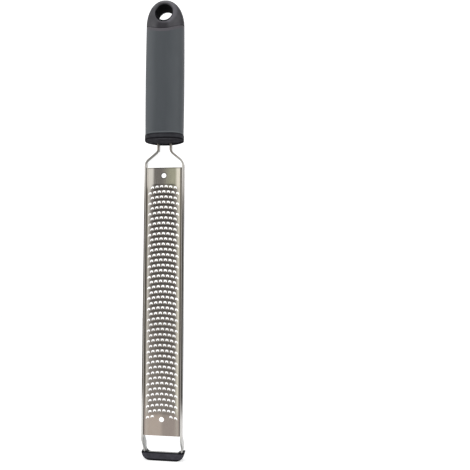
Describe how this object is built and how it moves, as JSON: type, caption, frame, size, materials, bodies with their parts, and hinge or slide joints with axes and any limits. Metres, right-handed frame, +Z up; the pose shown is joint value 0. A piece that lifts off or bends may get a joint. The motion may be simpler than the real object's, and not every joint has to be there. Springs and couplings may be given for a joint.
{
  "type": "rasp zester",
  "caption": "Long hand rasp: etched steel blade with raised teeth in a bent strip frame, moulded handle with a hang hole, soft foot at the tip.",
  "frame": {"origin": "centre of the hang hole, halfway through the cap", "axes": "+Z up along the tool from the foot to the handle, +Y from the toothed face to the back (the axis of the hang hole), +X across the blade"},
  "size_m": [0.0306, 0.0253, 0.3294],
  "materials": {
    "frame_band": "satin, polished edges",
    "rasp_blade": "bright rolled sheet with etched openings",
    "tip_foot": "smooth matte",
    "handle_core": "moulded",
    "grip_sleeve": "soft touch, fine satin",
    "hang_cap": "satin",
    "end_collar": "satin",
    "end_plug": "satin"
  },
  "bodies": {
    "root": {"frame_band": "frame_band", "rasp_blade": "rasp_blade", "tip_foot": "tip_foot", "handle_core": "handle_core", "grip_sleeve": "grip_sleeve", "hang_cap": "hang_cap", "end_collar": "end_collar", "end_plug": "end_plug"}
  },
  "joints": []
}
